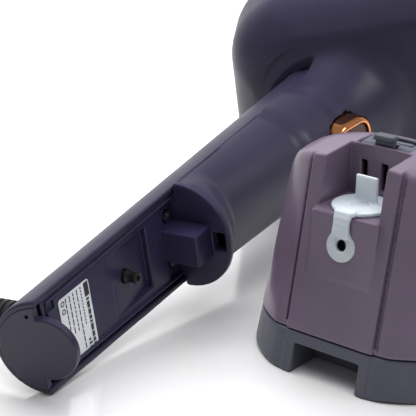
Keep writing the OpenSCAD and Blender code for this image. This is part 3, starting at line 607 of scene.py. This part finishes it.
def make_rear_shell():
    """The handle's rear half, cut off at a slant at its base, with the cord's hole."""
    def shape(x, y, z):
        r = np.hypot(x, y)
        up = z * math.cos(math.radians(LEAN)) - y * math.sin(math.radians(LEAN))
        outside = common(r - handle_r(z), -up, 1.6)
        shell = cut(outside, r - handle_r(z) + WALL, 0.5)
        shell = common(shell, y - SEAM_N, 0.7)
        shell = common(shell, z - neck_edge(y) - 4, 0.8)
        hole = rod_d(x, z - CORD_Z, y, 4.3, -30, -10)
        return cut(shell, hole, 0.5)
    return carved("handle_rear_half", HAND, (-25, -25, -8), (25, 1, 208), 0.8, shape, VIOLET, "handset",
                  ("rear_shell",))


def make_base_plate():
    """The slanted end: a plate inside the rear half's rim, and the round tongue with its lip."""
    def shape(x, y, z):
        wide = common(np.hypot(x, y * 0.985) - (BASE_R - 1.9), y + 1.4, 0.8)
        outline = np.minimum(wide, np.hypot(x, y) - TONGUE_R)
        solid = capped(outline, z, -0.2, 3.2, 0.7)
        groove = capped(abs(outline + 1.1) - 0.22, z, 2.8, 5)
        mark = rod_d(x - 12.5, y + 4.2, z, 0.6, -2, 1.2)
        return cut(cut(solid, groove, 0.2), mark, 0.3)
    return carved("base_end_plate", END, (-20, -20, -2), (20, 14, 5), 0.35, shape, VIOLET, "handset",
                  ("base_plate",))


def make_bay():
    """The bay's floor with its ridge, wedge-shaped recess, screw wells and block."""
    def shape(x, y, z):
        half = 15.4 + 2.1 * z / BAY_LEN
        floor = box_d(x * 15.4 / half, y, z, (-15.4, FLOOR_N - 2, 4.4), (15.4, FLOOR_N, BAY_LEN), 0.3)
        edge = np.maximum(abs(x) - half, 5.3 - z)
        rim = box_d(x, y, z, (-20, FLOOR_N - 1, 4), (20, -1.1, BAY_LEN))
        ridge = common(abs(edge + 1.4) - 0.5, rim, 0.5)
        solid = joined(floor, ridge, 0.5)
        under = box_d(x, y, z, (-13.4, FLOOR_N - 4, 42), (13.4, FLOOR_N - 1, 80), 0.5)
        block = box_d(x, y, z, (-6.3, FLOOR_N - 1, BAY_LEN - 10), (6.3, 13.4, BAY_LEN + 1), 0.5)
        solid = np.minimum(np.minimum(solid, under), block)
        slope = FLOOR_N - 2.6 * np.clip((z - 44) / 22, 0, 1)
        wedge = common(slope - y, box_d(x, y, z, (-12.2, -9, 43), (12.2, 9, 66)), 0.4)
        solid = cut(solid, wedge, 0.5)
        step = box_d(x, y, z, (-15.2, FLOOR_N - 0.9, 77.5), (15.2, 9, BAY_LEN + 2))
        step = cut(step, block - 0.3, 0.3)
        solid = cut(solid, step, 0.4)
        for side in (-1, 1):
            well = rod_d(x - side * 9.5, z - 81, y, 2.5, FLOOR_N - 2.6, 9)
            near, far = sorted((side * 9.8, side * 13.2))
            pocket = box_d(x, y, z, (near, FLOOR_N - 1, 6.4), (far, 9, 11), 0.4)
            solid = cut(cut(solid, well, 0.3), pocket, 0.3)
        return cut(solid, rod_d(x, z - PROBE_Z, y, 2.6, -9, 9), 0.3)
    return carved("bay_floor", HAND, (-19, -8, 3), (19, 15, 86), 0.42, shape, BAY, "handset",
                  ("bay_plate",))


def make_bulkhead():
    """The wall at the end of the bay, flush with the grip round its edge, with the latch's slot."""
    def shape(x, y, z):
        rim = common(np.hypot(x, y) - 21.4, SEAM_N - y, 1.2)
        foot = common(np.hypot(x, y) - 17.7, -9 - y, 0.5)
        outline = joined(rim, common(foot, y - 1, 0.5), 0.3)
        solid = capped(outline, z, BAY_LEN, BAY_LEN + 2.4, 0.5)
        slot = plate_d(x, y - 16.6, z, 3.7, 2.6, 0.4, BAY_LEN - 3, BAY_LEN + 6)
        return cut(solid, slot, 0.4)
    return carved("bay_end_wall", HAND, (-24, -13, 83), (24, 24, 89), 0.35, shape, BAY, "handset",
                  ("bulkhead",))


def bar(bm, x, z, wide, high):
    """One printed bar on the label: x and wide across the handle, z and high along it."""
    x = x + LABEL_W
    corners = ((x, z), (x + wide, z), (x + wide, z + high), (x, z + high))
    bm.faces.new([bm.verts.new(at(HAND, u, FLOOR_N + PRINT_UP, v)) for u, v in corners])


def make_film():
    """The rating label's film: a thin plate with round corners and a soft upper edge."""
    rings = []
    for level, inset in ((0.02, 0), (0.1, 0), (0.14, 0.08)):
        ring = []
        for i in range(32):
            quarter, turn = divmod(i, 8)
            a = math.radians(90 * quarter + 90 * turn / 7)
            u = (12 if quarter in (0, 3) else -12) + (1.2 - inset) * math.cos(a)
            v = (7.3 if quarter < 2 else -7.3) + (1.2 - inset) * math.sin(a)
            ring.append(at(HAND, LABEL_W + u, FLOOR_N + level, LABEL_Z + v))
        rings.append(ring)
    film = stacked("rating_film", rings)
    placed("rating_film", film, FILM, "handset", ("rating_label",))


def make_print():
    """Plain bars, blocks and rings for the label's print: a heading, five lines and two marks."""
    mesh = bpy.data.meshes.new("label_print")
    bm = bmesh.new()
    bar(bm, 7.2, 27.0, 5.4, 2.5)
    x = 6.6
    for k in range(9):
        word = 1.0 + 0.55 * ((k * 7) % 4)
        bar(bm, x - word, 27.3, word, 1.5)
        x -= word + 0.4
        if x < -12:
            break
    for row in range(5):
        x = 12.2
        level = 24.9 - 2.1 * row
        for k in range(12):
            word = 0.8 + 0.45 * ((k * 5 + row * 3) % 5)
            if x - word < (-12.2 if row < 2 else -4):
                break
            bar(bm, x - word, level, word, 0.55)
            x -= word + 0.45
    for k in range(3):
        bar(bm, -12.2 + 1.5 * k, 25.0, 0.9, 1.2 + 0.5 * (k % 2))
    for centre_x in (LABEL_W + 11.0, LABEL_W + 8.0):
        for i in range(16):
            a, b = 2 * math.pi * i / 16, 2 * math.pi * (i + 1) / 16
            ring = [(centre_x + r * math.cos(t), FLOOR_N + PRINT_UP, 15.0 + r * math.sin(t))
                    for r, t in ((0.6, a), (1.05, a), (1.05, b), (0.6, b))]
            bm.faces.new([bm.verts.new(at(HAND, *c)) for c in ring])
    bm.to_mesh(mesh)
    bm.free()
    placed("label_print", mesh, INK, "handset")


def make_probe():
    """The black nipple: a flared foot, a waist, a beaded lip and a bore."""
    place = HAND @ moved(0, 0, PROBE_Z) @ turned("X", -90)
    foot = [(0.8, -7.6), (2.2, -7.6), (2.2, FLOOR_N - 0.2), (2.6, FLOOR_N), (2.5, -1.5), (2.15, -1.0)]
    waist = [(2.0, 0), (1.95, 1.2), (2.15, 1.5)]
    lip = [(2.25, 1.9), (2.25, 2.4), (2.1, 2.8), (1.8, 2.9), (1.1, 2.9), (0.9, 2.5)]
    profile = foot + waist + lip + [(0.8, -7.6)]
    return spun("inlet_nipple", place, profile, BLACK, "handset", ("inlet_probe",))


def make_trigger():
    """The trigger: a plated ring with a deep round edge, and a dark textured face."""
    place = TRIGGER_SEAT @ turned("X", -90) @ moved(0, -0.6, 0.6)
    half_w, half_l = TRIGGER_W / 2 - 0.8, TRIGGER_L / 2 - 1.4

    def ring(x, y, z):
        outer = plate_d(x, y, z, half_w, half_l, 8.2, -7, 4.4, 2.3)
        inner = plate_d(x, y, z, half_w - 2.7, half_l - 2.7, 5.6, 2.3, 9, 0.2)
        under = plate_d(x, y, z, half_w - 2, half_l - 2, 6, -12, 1)
        return cut(cut(outer, inner, 0.4), under, 0.4)

    def face(x, y, z):
        lines = 0.12 * np.maximum(np.sin(y * 2 * math.pi / 1.6), 0) * (abs(x) < 6) * (abs(y) < 7)
        crown = 0.006 * (x * x + y * y)
        return plate_d(x, y, z + crown + lines, half_w - 3.0, half_l - 3.0, 5.4, 2.3, 3.9, 0.5)

    low, high = (-14, -15.5, -8), (14, 15.5, 5.5)
    carved("trigger_ring", place, low, high, 0.3, ring, COPPER, "trigger",
           ("trigger_frame",))
    carved("trigger_face", place, low, high, 0.3, face, BROWN, "trigger",
           ("trigger_insert",))


make_main_shell()
make_rear_shell()
make_base_plate()
make_bay()
make_bulkhead()
make_film()
make_print()
make_probe()
make_trigger()


# ---- Tank ----

def tank_outline(x, y, z, inset=0.0, wider=0.0):
    """The tank's outline at a height: a half ellipse in front of a squarer half behind."""
    half = 45.5 - 0.16 * z - inset
    middle = 33
    front = 37 - 0.256 * z - inset + wider
    rear = 25 - 0.09 * z - inset
    deep = np.where(y < middle, front, rear)
    power = np.where(y < middle, 2.05, 2.33)
    q = (abs(x / half) ** power + abs((y - middle) / deep) ** power) ** (1 / power) - 1
    return q * 26


def tank_roof(x, y, z):
    """The roof: level in the middle, rolled over at the shoulders and the back."""
    top = 75.6 + 1.8 * np.clip((y - 15) / 21, 0, 1) - 0.003 * x * x
    return z - top


def tank_body(x, y, z, inset=0.0):
    """The tank with its roof rolled over all round, cut off in front by the leaning face."""
    dome = common(tank_outline(x, y, z, inset, 12), tank_roof(x, y, z) + inset, 11)
    outer = common(dome, tank_outline(x, y, z, inset), 2)
    flat_front = z * FACE_T + 1.0 - y + inset
    return common(outer, flat_front, 1.0)


def tank_slab(x, y, z, grow=0.0):
    """The upright slab the face is cut on."""
    slab = box_d(x, y - z * FACE_T, z, (-FACE_W / 2, 0, 0), (FACE_W / 2, 9, FACE_H + 6), 0.8)
    return common(slab, tank_roof(x, y, z), 0.8)


def make_tank_shell():
    """The hollow tank: face, shoulders, recess for the grip's end, filler, outlet and slots."""
    def shape(x, y, z):
        solid = np.minimum(tank_body(x, y, z), tank_slab(x, y, z))
        groove = box_d(abs(x), y - z * FACE_T, z, (FACE_W / 2 - 0.2, -3, 17), (FACE_W / 2 + 1, 2.2, 99))
        solid = cut(solid, groove, 0.7)
        wedge = box_d(x, y - 9, z, (-13.4, -8, WEDGE_START), (13.4, 20, 58.1), 1.2)
        up = np.clip((z - WEDGE_START) / (SHELF_H - WEDGE_START), 0, 1.1)
        front = z * FACE_T - WEDGE_OUT * up - y
        wedge = common(wedge, front, 1.2)
        solid = joined(solid, wedge, 0.5)
        hollow = common(tank_body(x, y, z, WALL), 6 + z * FACE_T - y, 2)
        recess = box_d(x, y, z, (-RECESS_W, -20, SHELF_H), (RECESS_W, RECESS_D, 99))
        side = RECESS_W + WALL
        around = box_d(x, y, z, (-side, -30, SHELF_H - WALL), (side, RECESS_D + WALL, 99))
        hollow = cut(hollow, around, 0.5)
        solid = cut(solid, hollow, 0.3)
        solid = cut(solid, recess, 0.6)
        hole = rod_d(x, y - FILL_Y, z, 6.2, 40, 70)
        solid = cut(solid, hole, 0.5)
        along = (y - OUTLET_Z * FACE_T) * math.sin(math.radians(LEAN)) + \
            (z - OUTLET_Z) * math.cos(math.radians(LEAN))
        solid = cut(solid, rod_d(x, along, y, 4.6, -20, 24), 0.5)
        for low, high in ((-7.6, -5.3), (0.6, 2.8)):
            slot = box_d(x, y, z, (low, RECESS_D - 2, 61), (high, RECESS_D + 5, 71), 0.3)
            solid = cut(solid, slot, 0.4)
        pocket = box_d(x, y, z, (-10.4, LATCH_Y - 2.6, 70), (10.4, LATCH_Y + 9, 99), 0.6)
        solid = cut(solid, pocket, 0.5)
        return common(solid, BAND_H + 0.25 - z, 0.7)
    return carved("tank_shell_moulding", TANK, (-48, -10, 13), (48, 62, 82), 0.7, shape, PLUM, "tank",
                  ("tank_shell",))


def make_tank_base():
    """The slate cup under the tank: a chamfered foot, a front notch and a hollow with bosses."""
    def shape(x, y, z):
        inset = 1.3 * np.clip(1 - z / 2.2, 0, 1) ** 2
        body = tank_outline(x, y, z, 0.35 + inset)
        body = common(body, z * FACE_T - y + 0.35, 1.0)
        slab = box_d(x, y - z * FACE_T, z, (-FACE_W / 2, 0, 0), (FACE_W / 2, 9, 30), 1)
        solid = np.minimum(body, slab)
        solid = common(solid, z - BAND_H + 0.1, 0.8)
        solid = common(solid, 0.05 - z, 0.8)
        notch = box_d(x, y, z, (-13.2, -9, -9), (13.2, 15.5, 10.6), 0.6)
        solid = cut(solid, notch, 0.8)
        hollow = common(tank_outline(x, y, z, 3.2), z * FACE_T - y + 5, 1)
        hollow = common(hollow, box_d(x, y, z, (-60, -9, -9), (60, 70, 9.4)), 0.5)
        ribs = box_d(x, y, z, (-16, -9, -9), (16, 18.6, 20))
        bosses = rod_d(abs(x) - 26, y - 30, z, 5, -9, 20)
        hollow = cut(cut(hollow, ribs, 0.5), bosses, 0.5)
        return cut(solid, hollow, 0.5)
    return carved("tank_base_cup", TANK, (-49, -3, -1), (49, 62, 16), 0.6, shape, SLATE, "tank",
                  ("tank_base",))


def make_stopper():
    """The soft stopper: a dished disc, a grooved plug under it and a tab that stands up."""
    def shape(x, y, z):
        v = y - FILL_Y
        disc = rod_d(x, v, z, 10.2, SHELF_H + 0.05, SHELF_H + 1.5, 0.5)
        disc = cut(disc, rod_d(x, v + 1.2, z, 3, SHELF_H + 0.8, SHELF_H + 9, 0.4), 0.5)
        plug = rod_d(x, v, z, 5.9, SHELF_H - 4, SHELF_H + 1)
        grooved = plug + 0.3 * np.maximum(np.sin(z * 3), 0) * (z < SHELF_H - 0.2)
        lift = np.clip((z - SHELF_H) / 11, 0, 1)
        tab = box_d(x, v - 2.8, z, (-4.4, -0.75, SHELF_H), (4.4, 0.75, SHELF_H + 10.6), 0.6)
        return joined(joined(disc, grooved, 0.4), tab + 0.15 * lift, 0.9)
    return carved("filler_stopper", TANK, (-12, 8, 53), (12, 33, 71), 0.32, shape, SILICONE, "stopper",
                  ("stopper",))


def wedge_y(z):
    """Where the wedge on the tank's face is at a height."""
    return z * FACE_T - WEDGE_OUT * (z - WEDGE_START) / (SHELF_H - WEDGE_START)


def make_strap():
    """The outlet's collar and the waisted strap over the shelf's edge to the stopper."""
    def ring(x, y, z):
        return capped(np.maximum(np.hypot(x, y) - 5.7, 2.0 - np.hypot(x, y)), z, -0.2, 1.5, 0.5)
    high = SHELF_H + 1.1
    top_y = wedge_y(SHELF_H)
    path = [(51.6, wedge_y(51.6) - 0.8, 3.4), (53.4, wedge_y(53.4) - 1.0, 3.1),
            (55.5, wedge_y(55.5) - 1.0, 2.9), (57.6, top_y - 0.9, 3.1),
            (high - 0.2, top_y - 0.2, 3.3), (high, top_y + 2, 3.5),
            (high - 0.2, 11.2, 3.9), (high - 0.2, 14, 4.2)]

    def shape(x, y, z):
        band = 1e3
        for (z0, y0, w0), (z1, y1, w1) in zip(path, path[1:]):
            dy, dz = y1 - y0, z1 - z0
            t = np.clip(((y - y0) * dy + (z - z0) * dz) / (dy * dy + dz * dz), 0, 1)
            away = np.hypot(y - y0 - t * dy, z - z0 - t * dz)
            half = w0 + (w1 - w0) * t
            band = joined(band, capped(away - 0.85, abs(x), -half, half, 0.4), 0.25)
        c, s = math.cos(math.radians(LEAN + 90)), math.sin(math.radians(LEAN + 90))
        out = y - (wedge_y(OUTLET_Z) - 0.1)
        u = out * c - (z - OUTLET_Z) * s
        w = out * s + (z - OUTLET_Z) * c
        collar = ring(x, u, w)
        return joined(collar, band, 0.8)
    strap = carved("stopper_strap_band", TANK, (-8, 4, 40), (8, 17, 61), 0.3, shape, SILICONE, None,
                   ("stopper_strap",))
    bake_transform(strap)
    return strap


def make_latch():
    """The grey plate on the roof and the hook that stands up through it."""
    def plate(x, y, z):
        top = LATCH_Z + 0.9 + 0.06 * (y - LATCH_Y) - 0.004 * x * x
        solid = plate_d(x, y - LATCH_Y - 3.2, z, 10.2, 5.6, 1, LATCH_Z - 5, LATCH_Z + 4, 0.1)
        solid = common(solid, z - top, 0.6)
        solid = common(solid, z - top + 1.4 - 0.55 * (y - LATCH_Y + 2.4), 0.3)
        well = box_d(x, y - LATCH_Y, z, (-4.2, -2.1, LATCH_Z - 9), (4.2, 1.9, LATCH_Z + 9), 0.3)
        tray = box_d(x, y - LATCH_Y, z, (-8, 3, LATCH_Z - 0.9), (8, 8, LATCH_Z + 9), 0.4)
        inside = box_d(x, y - LATCH_Y, z, (-3.4, 1, LATCH_Z - 4), (3.4, 7.6, LATCH_Z - 0.4))
        return cut(cut(cut(solid, well, 0.3), tray, 0.3), inside, 0.2)

    def hook(x, y, z):
        v = y - LATCH_Y
        post = box_d(x, v, z, (-3.6, -1.8, LATCH_Z - 4), (3.6, 0.6, LATCH_Z + 4.4), 0.4)
        lip = box_d(x, v, z, (-3.8, -2.8, LATCH_Z + 2.6), (3.8, 1.6, LATCH_Z + 4.5), 0.6)
        foot = box_d(x, v, z, (-3, 0.5, LATCH_Z - 3.8), (3, 4, LATCH_Z - 1.3), 0.3)
        stem = box_d(x, v, z, (-3, 3.2, LATCH_Z - 3.8), (3, 4, LATCH_Z), 0.2)
        pad = box_d(x, v, z, (-7.6, 3.3, LATCH_Z - 0.7), (7.6, 5.8, LATCH_Z + 1.1), 0.5)
        top = joined(post, lip, 0.4)
        return np.minimum(np.minimum(top, foot), np.minimum(stem, pad))
    carved("latch_surround", TANK, (-12, 31, 70), (12, 46, 80), 0.32, plate, SLATE, "tank",
           ("latch_plate",))
    carved("latch_catch", TANK, (-9, 31, 72), (9, 42, 82), 0.24, hook, SLATE, "latch",
           ("latch_hook",))


make_tank_shell()
make_tank_base()
make_stopper()
make_strap()
make_latch()


# ---- Head's plate, screws and the pieces kept from the CAD ----

def dress(nodes, material):
    """Gives CAD nodes that have no finer piece their material."""
    for name in nodes:
        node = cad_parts[name]
        if not node.material_slots:
            node.data.materials.append(None)
        for holder in node.material_slots:
            holder.link = "OBJECT"
            holder.material = material


# the pieces that have no finer one
dress(("inlet_hose", "outlet_hose", "suction_tube", "tank_gasket", "valve_poppet"), SILICONE)
dress(("pump_body", "cord_clamp", "thermostat"), IVORY)
dress(("pump_coil",), WINDING)
dress(("pump_spring", "trigger_spring", "valve_spring", "latch_spring", "pump_plunger",
       "thermal_fuse", "suction_weight", "plug_pins"), STEEL)
dress(("plate_screws", "handle_screws", "base_screws", "bay_screws"), STEEL)
dress(("circuit_board",), GREEN)
dress(("switch_body", "heat_shield", "plate_bezel"), BLACK)
dress(("switch_button",), RED)
dress(("steam_chamber", "chamber_cover"), CAST)
dress(("steam_plate",), PLATE)
dress(("chamber_gasket",), RED_SILICONE)
dress(("heating_element",), OXIDE)
dress(("valve_seat",), SLATE)


# ---- Floor and light ----

FLOOR_REACH = 6
PALE, PALER = (0.86, 0.86, 0.87), (0.88, 0.88, 0.89)
BACKWARDS = (-0.52, 0.85, 0)      # level direction from the camera to the backdrop
KEY_AT, TOP_AT, GLINT_AT = (-0.55, 0.35, 0.95), (0.1, 0.1, 1.5), (0.75, 0.25, 0.6)

def make_floor():
    mesh = bpy.data.meshes.new("floor")
    corners = [(a * FLOOR_REACH, b * FLOOR_REACH, 0) for a, b in ((-1, -1), (1, -1), (1, 1), (-1, 1))]
    mesh.from_pydata(corners, [], [(0, 1, 2, 3)])
    floor = bpy.data.objects.new("floor", mesh)
    bpy.context.scene.collection.objects.link(floor)
    material, nodes, links, shader = tree_of("floor")
    texture = noise(nodes, links, 6)
    links.new(mixed(nodes, links, ranged(nodes, links, texture.outputs["Fac"], 0, 1),
                    PALE, PALER), shader.inputs["Base Color"])
    shader.inputs["Roughness"].default_value = 0.12
    shader.inputs["Metallic"].default_value = 0.35
    mesh.materials.append(material)


def make_light(name, location, target, size, power, height=None, glossy=True):
    data = bpy.data.lights.new(name, "AREA")
    data.shape = "RECTANGLE"
    data.size = size
    data.size_y = height or size
    data.energy = power
    light = bpy.data.objects.new(name, data)
    light.location = location
    aim = Vector(target) - Vector(location)
    light.rotation_euler = aim.to_track_quat("-Z", "Y").to_euler()
    light.visible_glossy = glossy
    bpy.context.scene.collection.objects.link(light)


def make_world():
    """A white backdrop behind the object, and a dimmer studio in front and overhead."""
    world = bpy.data.worlds.new("studio")
    world.use_nodes = True
    nodes, links = world.node_tree.nodes, world.node_tree.links
    coords = nodes.new("ShaderNodeTexCoord")
    split = nodes.new("ShaderNodeSeparateXYZ")
    facing = nodes.new("ShaderNodeVectorMath")
    facing.operation = "DOT_PRODUCT"
    facing.inputs[1].default_value = BACKWARDS
    links.new(coords.outputs["Generated"], split.inputs["Vector"])
    links.new(coords.outputs["Generated"], facing.inputs[0])
    behind = faded(nodes, links, facing.outputs["Value"], 0.1, 0.6, 0, 1)
    low = faded(nodes, links, split.outputs["Z"], 0.5, 0.75, 1, 0)
    both = nodes.new("ShaderNodeMath")
    both.operation = "MULTIPLY"
    links.new(behind, both.inputs[0])
    links.new(low, both.inputs[1])
    strength = faded(nodes, links, both.outputs["Value"], 0, 1, 0.3, 1.0)
    links.new(strength, nodes["Background"].inputs["Strength"])
    nodes["Background"].inputs["Color"].default_value = (1, 1, 1, 1)
    bpy.context.scene.world = world


def faded(nodes, links, source, start, end, low, high):
    span = nodes.new("ShaderNodeMapRange")
    for name, value in (("From Min", start), ("From Max", end), ("To Min", low), ("To Max", high)):
        span.inputs[name].default_value = value
    links.new(source, span.inputs["Value"])
    return span.outputs["Result"]


make_floor()
make_world()
make_light("key", KEY_AT, (0, 0, 0.05), 1.3, 16, height=0.6, glossy=False)
make_light("top", TOP_AT, (0, 0, 0), 1.8, 36, glossy=False)
make_light("glint", GLINT_AT, (0, 0.1, 0.08), 0.25, 1.6)
bpy.context.scene.view_settings.view_transform = "Standard"
